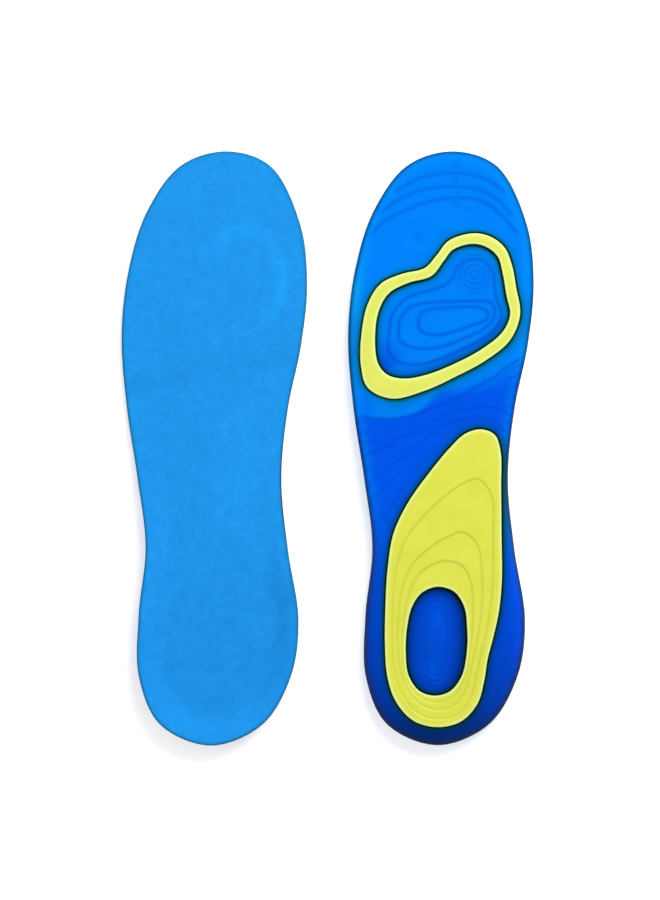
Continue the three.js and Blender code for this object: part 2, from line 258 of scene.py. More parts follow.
class Line:
    """A curve in the plan, as a row of points. A closed one runs counter-clockwise, with its inside left."""

    def __init__(self, at, closed=True):
        self.at = np.asarray(at, float)
        self.closed = closed
        self.tree = None

    def normals(self):
        """Unit vectors pointing to the left."""
        if self.closed:
            along = np.roll(self.at, -1, axis=0) - np.roll(self.at, 1, axis=0)
        else:
            along = np.gradient(self.at, axis=0)
        along /= np.linalg.norm(along, axis=1)[:, None]
        return np.stack([-along[:, 1], along[:, 0]], axis=1)

    def moved(self, distance):
        """The line moved to its left by a distance, or by one for each point."""
        return Line(self.at + self.normals() * np.reshape(distance, (-1, 1)), self.closed)

    def side(self, points):
        """Each point's distance from the line, negative on its right."""
        if self.tree is None:
            self.tree = KDTree(len(self.at))
            for i, p in enumerate(self.at):
                self.tree.insert((p[0], p[1], 0), i)
            self.tree.balance()
        nearest = np.array([self.tree.find((x, y, 0))[1] for x, y in points], int)
        best = np.full(len(points), np.inf)
        for step in (-1, 0):
            a_index, b_index = nearest + step, nearest + step + 1
            if self.closed:
                a_index, b_index = a_index % len(self.at), b_index % len(self.at)
            else:
                a_index, b_index = np.clip(a_index, 0, None), np.clip(b_index, None, len(self.at) - 1)
            a, b = self.at[a_index], self.at[b_index]
            ab = b - a
            length2 = np.maximum((ab * ab).sum(1), 1e-12)
            t = np.clip(((points - a) * ab).sum(1) / length2, 0, 1)
            gap = points - a - ab * t[:, None]
            cross = ab[:, 0] * gap[:, 1] - ab[:, 1] * gap[:, 0]
            signed = np.copysign(np.linalg.norm(gap, axis=1), cross)
            best = np.where(np.abs(signed) < np.abs(best), signed, best)
        return best


def smooth_line(points, spacing, closed=True):
    """Evenly spaced points along the centripetal Catmull-Rom curve through the given ones."""
    given = np.array(points, float)
    if closed:
        given = np.vstack([given[-1], given, given[:2]])
    else:
        given = np.vstack([2 * given[0] - given[1], given, 2 * given[-1] - given[-2]])
    fine = []
    for p0, p1, p2, p3 in zip(given[:-3], given[1:-2], given[2:-1], given[3:]):
        d0, d1, d2 = (math.sqrt(math.dist(a, b)) for a, b in ((p0, p1), (p1, p2), (p2, p3)))
        m1 = ((p1 - p0) / d0 - (p2 - p0) / (d0 + d1) + (p2 - p1) / d1) * d1
        m2 = ((p2 - p1) / d1 - (p3 - p1) / (d1 + d2) + (p3 - p2) / d2) * d1
        t = np.linspace(0, 1, CURVE_STEPS, endpoint=False)[:, None]
        fine.append(p1 + m1 * t + (3 * (p2 - p1) - 2 * m1 - m2) * t**2 + (2 * (p1 - p2) + m1 + m2) * t**3)
    fine = np.vstack([*fine, given[-2:-1]])
    run = np.concatenate([[0], np.cumsum(np.linalg.norm(np.diff(fine, axis=0), axis=1))])
    fewest = 8
    stops = np.linspace(0, run[-1], max(int(run[-1] / spacing), fewest), endpoint=not closed)
    return Line(np.stack([np.interp(stops, run, fine[:, k]) for k in (0, 1)], axis=1), closed)


def circle(centre, radius):
    """A closed line of evenly spaced points."""
    fewest = 12
    count = max(int(2 * math.pi * radius / CIRCLE_SPACING), fewest)
    turn = np.linspace(0, 2 * math.pi, count, endpoint=False)
    return Line(np.stack([centre[0] + radius * np.cos(turn), centre[1] + radius * np.sin(turn)], axis=1))


outline = smooth_line(OUTLINE, LOOP_SPACING)
ring_outer = smooth_line(RING_OUTER, LOOP_SPACING)
ring_inner = smooth_line(RING_INNER, LOOP_SPACING)
insert_outer = smooth_line(INSERT_OUTER, LOOP_SPACING)
window_edge = smooth_line(WINDOW_EDGE, LOOP_SPACING)
terraces = [smooth_line(points, LOOP_SPACING) for points in TERRACES]
trims = [smooth_line(points, LOOP_SPACING, closed=False) for points in TRIM_LINES]
arches = [smooth_line(points, LOOP_SPACING, closed=False) for points in ARCH_CONTOURS]
panel_lines = [smooth_line(points, LOOP_SPACING) for points in PANEL_CONTOURS]
panel_lines += [circle(PANEL_CIRCLE, radius) for radius in PANEL_CIRCLE_RADII]
window_lines = [window_edge.moved(PIECE_GAP + distance) for distance in WINDOW_CONTOURS]


# ---- Heights, in functions of the plan ----


def medial_share(x):
    """0 on the little-toe side, 1 on the big-toe side."""
    return smoothstep(x, -SIDE_BLEND, SIDE_BLEND)


def rim_top(x, y):
    """Height of the gel's upper face at the outline."""
    lateral, medial = (along_foot(y, RIM_TOP, RIM_CLIMB[side]) for side in ("lateral", "medial"))
    return lerp(lateral, medial, medial_share(x))


def wall_width(x, y):
    """Width in the plan of the underside's rounded edge."""
    lateral = along_foot(y, WALL_LATERAL, WALL_CLIMB["lateral"])
    medial = along_foot(y, WALL_MEDIAL, WALL_CLIMB["medial"])
    return lerp(lateral, medial, medial_share(x))


def gel_top(points, d):
    """The gel's upper face, at points whose distance inside the outline is d."""
    x, y = points.T
    return lerp(rim_top(x, y), along_foot(y, GEL_TOP, MIDDLE_CLIMB), smoothstep(d, 0, CUP_WIDTH))


def score(points, lines, width, depths=None):
    """Each scored line's depth, or 1, on the line itself, falling to 0 over a width on each side."""
    mark = np.zeros(len(points))
    for line, depth in zip(lines, depths or [1] * len(lines)):
        mark = np.maximum(mark, depth * band(line.side(points), 0, width))
    return mark


def gate_marks(points):
    """1 in the middle of each of the moulding's gate marks."""
    return sum(hill(points, (x, y), (radius, radius)) for x, y, radius in GATE_MARKS)


def ripples(points):
    """Waves from 0 to 1 between the arch's first contour and the heel insert, closer where those converge."""
    below_arch, off_insert = -arches[0].side(points), -insert_outer.side(points)
    least_width = 0.1
    share = np.clip(below_arch / np.maximum(below_arch + off_insert, least_width), 0, 1)
    fade = smoothstep(below_arch, 0, 2) * smoothstep(off_insert, 0.8, 3) * smoothstep(points[:, 1], -40, -10)
    return (0.5 - 0.5 * np.cos(2 * math.pi * RIPPLES * share)) * fade


def underside_scores(points, d):
    """How deep the trim lines, the arch's contours and ripples, and the gate marks are, from 0 to 1."""
    trim_width, arch_width = 1.1, 0.75
    ripple_share, gate_share = 0.5, 0.6
    toe = score(points, trims, trim_width, TRIM_DEPTHS)
    arch = score(points, arches, arch_width, ARCH_DEPTHS)
    lines = np.maximum(toe, arch) * smoothstep(d, 1.2, 4)
    lines = np.maximum(lines, ripple_share * ripples(points))
    return np.maximum(lines, gate_share * gate_marks(points))


def underside(points, d):
    """The gel's underside outside its pockets: flat, rounded up to the rim, and scored."""
    x, y = points.T
    across = 1 - np.clip(d / wall_width(x, y), 0, 1)
    lift = rim_top(x, y) - along_foot(y, RIM_LIP, LIP_CLIMB) - GEL_BASE
    return GEL_BASE + lift * (1 - np.sqrt(1 - across**2)) + UNDERSIDE_RELIEF * underside_scores(points, d)


def panel(points):
    """The sunk face inside the forefoot loop, a little higher in its middle, with scored contours."""
    crown, crown_width = PANEL_CROWN
    score_width, half_step = 0.7, 0.6
    from_edge = ring_inner.side(points)
    rise = crown * (1 - (1 - np.clip(from_edge / crown_width, 0, 1)) ** 2)
    for line in panel_lines[:2]:
        rise += PANEL_STEP * smoothstep(line.side(points), -half_step, half_step)
    scores = score(points, panel_lines, score_width, PANEL_DEPTHS)
    return PANEL_FLOOR + PANEL_EDGE_DROP - rise + PANEL_RELIEF * scores


def window_floor(points):
    """The gel seen through the heel window: a dome with a low ridge, and scored contours at its two ends."""
    low, high = window_edge.at.min(0), window_edge.at.max(0)
    across, along = ((points - (low + high) / 2) / ((high - low) * DOME_SHARE)).T
    dome = smoothstep(1 - np.hypot(across, along), 0, 1)
    ends = smoothstep(np.abs(along), 0.35, 0.9)
    ridge_width, score_width = 0.38, 0.5
    ridge = np.exp(-((across / ridge_width) ** 4)) * smoothstep(1 - np.abs(along), 0.1, 0.35)
    edge_height = WINDOW_FLOOR + WINDOW_EDGE_DROP
    floor = edge_height - (edge_height - DOME_TOP) * dome - DOME_RIDGE * ridge
    return floor + WINDOW_RELIEF * ends * score(points, window_lines, score_width)


def insert_face(points):
    """The heel insert's face: a flat border and three terraces stepping in to the window."""
    height = np.zeros(len(points))
    for line in terraces:
        inside = line.side(points)
        height += INSERT_STEP * smoothstep(inside, -0.8, 0.4) + TERRACE_GROOVE * band(inside, 0.3, 0.4)
    return height


def rounding(t, radius):
    """How far a rounded edge falls away, at distance t in from the edge."""
    return radius - math.sqrt(radius**2 - max(radius - t, 0) ** 2)


# ---- Meshes ----


def hex_points(low, high, pitch):
    """Points of a triangular lattice that covers a box of the plan."""
    xs = np.arange(low[0], high[0], pitch)
    ys = np.arange(low[1], high[1], pitch * math.sqrt(0.75))
    x, y = np.meshgrid(xs, ys)
    x[1::2] += pitch / 2
    return np.stack([x.ravel(), y.ravel()], axis=1)


def triangulated(outer, holes, pitch, scored=()):
    """Points and triangles of the plan inside one loop and outside others, finer along the scored lines."""
    clear = hex_points(outer.at.min(0), outer.at.max(0), pitch)
    beside_rows = ROW_OFFSETS[-1] + 0.25 * pitch
    for line in scored:
        clear = clear[np.abs(line.side(clear)) > beside_rows]
    rows = [line.moved(offset).at for line in scored for offset in ROW_OFFSETS]
    inner = np.vstack([clear, *rows])
    inner = inner[outer.side(inner) > EDGE_CLEARANCE]
    for hole in holes:
        inner = inner[hole.side(inner) < -EDGE_CLEARANCE]
    edges, points = [], []
    for loop in (outer, *holes):
        start, n = sum(map(len, points)), len(loop.at)
        edges += [(start + i, start + (i + 1) % n) for i in range(n)]
        points.append(loop.at)
    points = np.vstack([*points, inner])
    found = delaunay_2d_cdt([Vector(p) for p in points], edges, [], 0, 1e-5, False)
    at, faces = np.array([tuple(p) for p in found[0]]), np.array([tuple(f) for f in found[2]])
    middles = at[faces].mean(axis=1)
    wanted = outer.side(middles) > 0
    for hole in holes:
        wanted &= hole.side(middles) < 0
    return at, faces[wanted]


class Shell:
    """Collects sheets and strips in the insole's millimetres, and welds them into one closed mesh."""

    def __init__(self):
        self.points, self.faces, self.count = [], [], 0

    def add(self, points, faces):
        self.points.append(points)
        self.faces += [tuple(i + self.count for i in f) for f in faces]
        self.count += len(points)

    def sheet(self, height, outer, holes=(), pitch=4.0, scored=()):
        """A triangulated part of the plan, at a height or at those of a function of its points."""
        points, faces = triangulated(outer, holes, pitch, scored)
        z = height(points) if callable(height) else np.full(len(points), height)
        self.add(np.column_stack([points, z]), faces)

    def strips(self, rows):
        """Quads between neighbouring closed rows, each a line and its heights."""
        n = len(rows[0][0].at)
        stacked = [np.column_stack([line.at, np.broadcast_to(z, n)]) for line, z in rows]
        faces = []
        for first in range(0, (len(rows) - 1) * n, n):
            second = first + n
            for i in range(n):
                following = (i + 1) % n
                faces.append((first + i, first + following, second + following, second + i))
        self.add(np.vstack(stacked), faces)

    def edge(self, line, inward, height, radius, floor):
        """A rounded edge that starts at a wall's line, with the wall to its floor. Returns its inner line."""
        lines = [line.moved(inward * t) for t in EDGE_STEPS]
        heights = [height(each.at) + rounding(t, radius) for each, t in zip(lines, EDGE_STEPS)]
        self.strips([(line, floor), *zip(lines, heights)])
        return lines[-1]

    def mesh(self, name):
        """The welded mesh, still in the insole's millimetres, with its faces pointing out."""
        mesh = bpy.data.meshes.new(name)
        mesh.from_pydata(np.vstack(self.points).tolist(), [], self.faces)
        welded = bmesh.new()
        welded.from_mesh(mesh)
        bmesh.ops.remove_doubles(welded, verts=welded.verts, dist=WELD_DISTANCE)
        bmesh.ops.recalc_face_normals(welded, faces=welded.faces)
        welded.to_mesh(mesh)
        welded.free()
        return mesh


def plan_of(mesh):
    """The mesh's points, and their distance inside the insole's outline."""
    at = np.zeros(len(mesh.vertices) * 3)
    mesh.vertices.foreach_get("co", at)
    at = at.reshape(-1, 3)
    return at, outline.side(at[:, :2])


def store(mesh, name, values):
    """A value for each vertex, that a material reads by name."""
    mesh.attributes.new(name, "FLOAT", "POINT").data.foreach_set("value", values.astype(np.float32))


def flat_face(points):
    """No relief at all."""
    return np.zeros(len(points))


# The velour's low swellings and hollows away from the ball of the big toe: height, centre and radii.
COVER_HILLS = {
    "arch": (0.6, (16, -10), (12, 30)),
    "inner wall": (0.8, (27, -42), (8, 24)),
    "waist": (-0.6, (-17, 6), (13, 18)),
    "heel": (-0.4, (-2, -87), (22, 36)),
}
BALL_CENTRE = (13, 76)
BALL_RADII = (17, 23)


def cover_relief(points):
    """What shows through the velour: above 0 on ridges and swellings, and below it in hollows."""
    x, y = points.T
    across, along = (x - BALL_CENTRE[0]) / BALL_RADII[0], (y - BALL_CENTRE[1]) / BALL_RADII[1]
    ball = np.hypot(across, along)
    ridge = band(ball, 1, 0.16) * smoothstep(across + along, -0.9, 0.5)
    bowl = band(ball, 0, 0.6)
    crease = band(y - 35 - 0.2 * x, 0, 5)
    relief = 1.5 * ridge - 0.35 * bowl - 0.9 * crease
    for height, centre, radii in COVER_HILLS.values():
        relief = relief + height * hill(points, centre, radii)
    return relief


def layer(name, inset, bottom, top, radius, pitch, relief=flat_face):
    """A closed sheet that follows the gel's upper face, between two heights above it."""
    shell = Shell()
    offsets = (0, 0.04, 0.12, 0.22, 0.35, 0.7, 1.4, 2.4, 3.6, 5, 7, 9, 11, CUP_WIDTH - inset)

    def upper_height(points, t):
        rounded = gel_top(points, inset + t) + top - rounding(t, radius)
        return rounded + COVER_RELIEF * relief(points)

    def lower_height(points, t):
        return gel_top(points, inset + t) + bottom

    lines = [outline.moved(inset + t) for t in offsets]
    upper = [upper_height(line.at, t) for line, t in zip(lines, offsets)]
    lower = [lower_height(line.at, t) for line, t in zip(lines, offsets)]
    shell.strips([*zip(lines, upper)][::-1] + [*zip(lines, lower)])
    middle = offsets[-1]
    shell.sheet(lambda points: upper_height(points, middle), lines[-1], pitch=pitch)
    shell.sheet(lambda points: lower_height(points, middle), lines[-1], pitch=pitch)
    return shell.mesh(name)


def top_cover():
    """The velour, with painted shade along its edge."""
    mesh = layer("top_cover", COVER_INSET, COVER_BOTTOM, COVER_TOP, COVER_EDGE, 1.6, cover_relief)
    at, d = plan_of(mesh)
    dark_width = 1.2
    store(mesh, "relief", cover_relief(at[:, :2]))
    # Painted shade along the velour's edge, where its side turns away from the light.
    store(mesh, "edge", 1 - smoothstep(d, COVER_INSET, COVER_INSET + dark_width))
    return mesh


def bonding_film():
    """The hot-melt film between the velour and the gel."""
    return layer("bonding_film", FILM_INSET, FILM_BOTTOM, FILM_TOP, FILM_EDGE, 4)


def gel_body():
    """The blue gel: cup, rounded wall, scored underside, pockets, sunk panel and heel dome."""
    shell = Shell()
    upper_steps = (0, 0.03, 0.1, 0.2, 0.35, 1, 2, 3.5, 5, 7, 9, 11, CUP_WIDTH)
    upper = [outline.moved(t) for t in upper_steps]
    upper_heights = [gel_top(line.at, t) - rounding(t, GEL_EDGE) for line, t in zip(upper, upper_steps)]
    wall = wall_width(*outline.at.T)
    wall_shares = (0.06, 0.14, 0.24, 0.36, 0.48, 0.6, 0.7)
    lower_steps = [np.full(len(wall), t) for t in EDGE_STEPS[:-1]]
    lower_steps += [lerp(GEL_EDGE, wall, share) for share in wall_shares]
    lower_rows = []
    for t in lower_steps:
        line = outline.moved(t)
        lower_rows.append((line, underside(line.at, t) + rounding(t[0], GEL_EDGE)))
    shell.strips([*zip(upper, upper_heights)][::-1] + lower_rows)
    shell.sheet(lambda points: gel_top(points, CUP_WIDTH), upper[-1], pitch=3)

    def flat(points):
        return underside(points, outline.side(points))

    ring_pocket, panel_edge = ring_outer.moved(-PIECE_GAP), ring_inner.moved(PIECE_GAP)
    insert_pocket, dome_edge = insert_outer.moved(-PIECE_GAP), window_edge.moved(PIECE_GAP)
    ring_floor, insert_floor = RING_DEPTH + PIECE_GAP, INSERT_DEPTH + PIECE_GAP
    ring_mouth = shell.edge(ring_pocket, -1, flat, GEL_EDGE, ring_floor)
    insert_mouth = shell.edge(insert_pocket, -1, flat, GEL_EDGE, insert_floor)
    panel_rim = shell.edge(panel_edge, 1, panel, GEL_EDGE, ring_floor)
    dome_rim = shell.edge(dome_edge, 1, window_floor, GEL_EDGE, insert_floor)
    mouths = [ring_mouth, insert_mouth]
    shell.sheet(flat, lower_rows[-1][0], mouths, pitch=1.0, scored=[*trims, *arches])
    shell.sheet(ring_floor, ring_pocket, [panel_edge])
    shell.sheet(insert_floor, insert_pocket, [dome_edge])
    shell.sheet(panel, panel_rim, pitch=0.9, scored=panel_lines)
    shell.sheet(window_floor, dome_rim, pitch=0.9, scored=window_lines)
    mesh = shell.mesh("gel_body")

    at, d = plan_of(mesh)
    points = at[:, :2]
    # Painted shade on the strip of the upper face beyond the velour.
    upper_rim_shade = 0.4  # how dark the rim is on the upper face
    upper_face = gel_top(points, d) - at[:, 2] < GEL_EDGE + 0.1
    store(mesh, "depth", gel_depth(points))
    store(mesh, "lines", gel_line_shade(points, d))
    store(mesh, "shade", gel_shade(at))
    store(mesh, "narrow", gel_narrow_shade(points, d))
    store(mesh, "thin", np.where(upper_face, 1, gel_thin(points, d)))
    store(mesh, "rim", np.where(upper_face, upper_rim_shade, gel_rim_shade(points, d)))
    return mesh


# How deep the blue looks at places along Y, from the back of the heel to the arch.
DEPTH_PLACES = (-131, -114, -87, -20)
# The deepest, at the back of the heel, is partly painted shade on the wall that faces away from the light.
DEPTHS = (1.0, 0.85, 0.7, 0.5)


def body_depth(points):
    """The blue's depth outside the loop and the window. It sets in at the arch's first contour."""
    x, y = points.T
    below_arch = -arches[0].side(points)
    early = 4 * band(x, 0, 7)  # it sets in sooner in the middle of the foot
    start = lerp(1.2, 5.0, smoothstep(x, -22, 10))
    end = lerp(0.8, 9.0, smoothstep(x, 5, 30))
    blend = smoothstep(below_arch, -start - early, end - 0.85 * early)
    depth = np.where(below_arch < 0, DEPTHS[-1], np.interp(y, DEPTH_PLACES, DEPTHS)) * blend
    # Painted shade at the little-toe side of the waist, below the loop.
    waist_shade = hill(points, (-37, 17), (7, 8))
    return np.maximum(depth, 0.3 * waist_shade)


def panel_depth(points, inside):
    """The blue's depth in the sunk panel, at a distance inside its edge: painted shade in a corner and its
    low edge.
    """
    x, y = points.T
    corner = hill(points, (-25, 39), (6.5, 8))
    low_edge_shade = (1 - smoothstep(inside, 3, 6.5)) * smoothstep(50 + 0.4 * x - y, 0, 5)
    return np.maximum(0.45 * corner, 0.25 * low_edge_shade)


def window_depth(points, inside):
    """The blue's depth in the heel window, at a distance inside its edge: less on the dome and its ends."""
    # Deeper at the window's edge, as painted shade in the recess.
    edge_depth, dome_depth, medial_shade = 0.84, 0.63, 0.1
    # Painted highlights at the dome's two ends.
    painted_highlights = sum(hill(points, end, (2.2, 3.4)) for end in DOME_HIGHLIGHTS)
    depth = lerp(edge_depth, dome_depth, smoothstep(inside, 0, 8))
    # Deeper towards the big-toe side, as painted shade.
    return depth + medial_shade * smoothstep(points[:, 0], -2, 8) - 0.12 * painted_highlights


def gel_depth(points):
    """How deep the blue looks, from 0 over the thin forefoot to 1 at the back of the heel."""
    in_ring, in_window = ring_inner.side(points), window_edge.side(points)
    depth = np.where(in_ring > 0, panel_depth(points, in_ring), body_depth(points))
    return np.where(in_window > 0, window_depth(points, in_window), depth)


def gel_line_shade(points, d):
    """Where the gel's scored lines run, from 0 to 1, for painted shade in them."""
    in_ring, in_window = ring_inner.side(points) > 0, window_edge.side(points) > 0
    panel_width, window_width = 0.95, 0.5
    panel_scores = score(points, panel_lines, panel_width, PANEL_DEPTHS)
    panel_scores = np.maximum(panel_scores, 0.7 * gate_marks(points))
    lines = np.where(in_ring, panel_scores, underside_scores(points, d))
    return np.where(in_window, 0.6 * score(points, window_lines, window_width), lines)


def gel_shade(at):
    """1 on the pockets' walls and floors, falling to 0 just outside them, and low along the lateral heel."""
    points, z = at[:, :2], at[:, 2]
    x, y = points.T
    inside_reach, insert_reach, ring_reach = 1.4, 1.6, (1.15, 1.9)
    heel_shade = 0.16
    below_ring = smoothstep(33 + 0.5 * x - y, -3, 3)
    shade = np.zeros(len(at))
    for outer, inner in ((ring_outer, ring_inner), (insert_outer, window_edge)):
        outside, inside = -outer.side(points) - PIECE_GAP, inner.side(points) - PIECE_GAP
        near = np.minimum(np.abs(outside), np.abs(inside))
        in_pocket = (outside < 0.01) & (inside < 0.01)
        beside = insert_reach if outer is insert_outer else lerp(*ring_reach, below_ring)
        reach = np.where(inside > -0.01, inside_reach, beside)
        shade = np.maximum(shade, np.where(in_pocket, 1, np.exp(-near / reach)))
    lateral_heel = (1 - medial_share(x)) * smoothstep(-y, 20, 70)
    shade = np.maximum(shade, heel_shade * lateral_heel)
    under_top = GEL_TOP[0] - 0.1 + (GEL_TOP[1] - GEL_TOP[0]) * (y < 20)
    return np.where(z < under_top, shade, 0)


def gel_narrow_shade(points, d):
    """Painted shade on the strip between a yellow piece and the outline, from 1 where it is narrow to 0."""
    off_insert, off_ring = -insert_outer.side(points), -ring_outer.side(points)
    beside_insert = np.where(off_insert > 0, 1 - smoothstep(off_insert + d, 3, 7), 0)
    beside_ring = np.where(off_ring > 0, 1 - smoothstep(off_ring + d, 5, 8), 0)
    return np.maximum(beside_insert, 0.3 * beside_ring)


def gel_thin(points, d):
    """A paler band just inside the rim, where the gel is thinnest, strongest at the little toe's joint."""
    x, y = points.T
    joint = 0.5 * (1 - medial_share(x)) * band(y, 70, 12)
    return (0.22 * smoothstep(y, -60, -10) + joint) * band(d, 2.4, 2.4)


def gel_rim_shade(points, d):
    """Painted shade along the outline's rounded wall, wider and darker round the heel."""
    heel = smoothstep(-points[:, 1], 30, 90)
    darkness, width = lerp(0.88, 1, heel), lerp(2.1, 2.9, heel)
    return darkness * (1 - smoothstep(d, 0.2, width))


def store_edges(mesh, at, outer, inner):
    """A yellow piece's dark side walls, as painted shade, and a painted highlight along its rounded edges."""
    near = np.minimum(outer.side(at[:, :2]), -inner.side(at[:, :2]))
    store(mesh, "shade", 1 - smoothstep(near, 0.0, 0.25))
    store(mesh, "edge_highlight", smoothstep(near, 0.1, 0.35) * (1 - smoothstep(near, 0.6, 1.4)))


def forefoot_ring():
    """The yellow loop: rounded edges and a slight crown."""
    shell = Shell()

    def crown(points):
        near = np.minimum(ring_outer.side(points), -ring_inner.side(points))
        return RING_CROWN * (1 - smoothstep(near, 0.3, 2.2))

    outer = shell.edge(ring_outer, 1, crown, YELLOW_EDGE, RING_DEPTH)
    inner = shell.edge(ring_inner, -1, crown, YELLOW_EDGE, RING_DEPTH)
    shell.sheet(crown, outer, [inner], pitch=0.9)
    shell.sheet(RING_DEPTH, ring_outer, [ring_inner])
    mesh = shell.mesh("forefoot_ring")
    at, _ = plan_of(mesh)
    store(mesh, "lines", np.zeros(len(at)))
    store_edges(mesh, at, ring_outer, ring_inner)
    return mesh


def heel_insert():
    """The yellow heel and arch insert, terraced in to its window."""
    shell = Shell()
    outer = shell.edge(insert_outer, 1, insert_face, YELLOW_EDGE, INSERT_DEPTH)
    inner = shell.edge(window_edge, -1, insert_face, YELLOW_EDGE, INSERT_DEPTH)
    shell.sheet(insert_face, outer, [inner], pitch=1.0, scored=terraces)
    shell.sheet(INSERT_DEPTH, insert_outer, [window_edge])
    mesh = shell.mesh("heel_insert")
    at, _ = plan_of(mesh)
    # Lines just inside each terrace's step carry painted shade at its foot.
    line_inset, line_width = 0.15, 0.5
    lines = [terrace.moved(line_inset) for terrace in terraces]
    store(mesh, "lines", score(at[:, :2], lines, line_width))
    store_edges(mesh, at, insert_outer, window_edge)
    return mesh


# ---- Materials ----


def linear(red, green, blue):
    """A colour given as it looks on a screen, from 0 to 255, as linear values by the sRGB curve."""
    shares = [value / 255 for value in (red, green, blue)]
    return tuple(s / 12.92 if s <= 0.04045 else ((s + 0.055) / 1.055) ** 2.4 for s in shares) + (1.0,)


def grey(level):
    """A grey, or a brightness to multiply a colour by, as a linear value."""
    return (level, level, level, 1)


NOISE_SPAN = (0.3, 0.7)  # most of a noise's values lie between these


class Nodes:
    """A material's node tree, with a short call for each kind of node used here."""

    def __init__(self, name):
        self.material = bpy.data.materials.new(name)
        self.material.use_nodes = True
        self.tree = self.material.node_tree
        self.shader = self.tree.nodes["Principled BSDF"]
        self.place = self.tree.nodes.new("ShaderNodeTexCoord").outputs["Object"]

    def link(self, source, target):
        self.tree.links.new(source, target)

    def noise(self, size, detail=2.0, stretch=(1, 1, 1)):
        """Soft noise whose patches are about size metres across."""
        node = self.tree.nodes.new("ShaderNodeTexNoise")
        node.inputs["Scale"].default_value = 1 / size
        node.inputs["Detail"].default_value = detail
        mapping = self.tree.nodes.new("ShaderNodeMapping")
        mapping.inputs["Scale"].default_value = stretch
        self.link(self.place, mapping.inputs["Vector"])
        self.link(mapping.outputs["Vector"], node.inputs["Vector"])
        return node.outputs["Fac"]

    def attribute(self, name):
        """A value that store() left on the mesh."""
        node = self.tree.nodes.new("ShaderNodeAttribute")
        node.attribute_name = name
        return node.outputs["Fac"]

    def ranged(self, value, low, high, to_low, to_high):
        """A value moved from one range to another, and kept inside that one."""
        node = self.tree.nodes.new("ShaderNodeMapRange")
        for key, number in zip(("From Min", "From Max", "To Min", "To Max"), (low, high, to_low, to_high)):
            node.inputs[key].default_value = number
        self.link(value, node.inputs["Value"])
        return node.outputs["Result"]

    def ramp(self, value, stops):
        """A colour that changes along a value, through (position, colour) stops."""
        node = self.tree.nodes.new("ShaderNodeValToRGB")
        elements = node.color_ramp.elements
        while len(elements) < len(stops):
            elements.new(0.5)
        for element, (position, colour) in zip(elements, stops):
            element.position = position
            element.color = colour
        self.link(value, node.inputs["Fac"])
        return node.outputs["Color"]

    def mottled(self, noise, low, high):
        """A colour that follows a noise between two others."""
        return self.ramp(noise, list(zip(NOISE_SPAN, (low, high))))

    def mix(self, share, a, b, kind="MIX"):
        """Colour a with a share of colour b. Each may be a colour or another node's output."""
        node = self.tree.nodes.new("ShaderNodeMix")
        node.data_type = "RGBA"
        node.blend_type = kind
        for socket, value in ((node.inputs[0], share), (node.inputs[6], a), (node.inputs[7], b)):
            if isinstance(value, (float, tuple)):
                socket.default_value = value
            else:
                self.link(value, socket)
        return node.outputs[2]

    def times(self, a, b, share=1.0):
        """Colour a multiplied by a share of colour b."""
        return self.mix(share, a, b, "MULTIPLY")

    def painted(self, name, most, a, b):
        """Colour a with a share of colour b that rises with a stored value, up to the most at 1."""
        share = self.ranged(self.attribute(name), 0.0, 1.0, 0.0, most)
        return self.mix(share, a, b)

    def colour(self, value):
        """The surface's colour, from another node's output."""
        self.link(value, self.shader.inputs["Base Color"])

    def rough(self, noise, low, high):
        """A roughness that follows a noise between two values."""
        self.link(self.ranged(noise, *NOISE_SPAN, low, high), self.shader.inputs["Roughness"])

    def bump(self, value, strength, distance):
        """Fine relief from a value, on top of any earlier bump."""
        node = self.tree.nodes.new("ShaderNodeBump")
        node.inputs["Strength"].default_value = strength
        node.inputs["Distance"].default_value = distance
        self.link(value, node.inputs["Height"])
        if self.shader.inputs["Normal"].is_linked:
            self.link(self.shader.inputs["Normal"].links[0].from_socket, node.inputs["Normal"])
        self.link(node.outputs["Normal"], self.shader.inputs["Normal"])

    def set(self, name, value):
        """A value that is the same all over, on the shader's own socket."""
        self.shader.inputs[name].default_value = value


def velour():
    """Brushed nylon velour: short nap, mottled where it lies in different directions."""
    nodes = Nodes("velour_cover")
    nap = nodes.noise(0.0006, detail=4)
    patches = nodes.noise(0.0045, detail=5)
    tufts = nodes.noise(0.0028, detail=2)
    broad = nodes.noise(0.016, detail=2)
    brushed_flat, edge_shade_blue = linear(17, 132, 207), linear(22, 97, 128)
    # Painted shade in the velour's hollows and painted light on its ridges, following its relief.
    hollow, level, ridge = (0.9, 0.9, 0.92, 1), (0.95, 0.95, 0.96, 1), grey(1.04)
    blue = nodes.mottled(patches, linear(15, 132, 211), linear(24, 141, 218))
    blue = nodes.mix(nodes.ranged(broad, 0.35, 0.65, 0.0, 0.5), blue, brushed_flat)
    height = nodes.ranged(nodes.attribute("relief"), -1.0, 1.0, 0.0, 1.0)
    relief_light_and_shade = nodes.ramp(height, [(0.0, hollow), (0.5, level), (1.0, ridge)])
    speckle = nodes.mottled(nap, grey(0.86), grey(1.0))
    clumps = nodes.mottled(tufts, grey(0.96), grey(1.04))
    for tone in (relief_light_and_shade, speckle, clumps):
        blue = nodes.times(blue, tone)
    # Painted shade along the edge, from the edge attribute.
    nodes.colour(nodes.painted("edge", 0.7, blue, edge_shade_blue))
    nodes.bump(nap, strength=0.35, distance=0.0002)
    nodes.bump(patches, strength=0.25, distance=0.0006)
    nodes.set("Roughness", 0.95)
    nodes.set("Specular IOR Level", 0.15)
    nodes.set("Sheen Weight", 0.1)
    nodes.set("Sheen Roughness", 0.45)
    nodes.set("Sheen Tint", linear(150, 205, 250))
    return nodes.material


# The blue gel's colour by its depth, from 0 over the forefoot to 1 at the back of the heel.
GEL_BLUES = [
    (0.0, linear(1, 111, 215)),
    (0.5, linear(1, 76, 206)),
    (0.7, linear(2, 62, 185)),
    (0.85, linear(2, 52, 157)),
    (1.0, linear(2, 39, 112)),
]


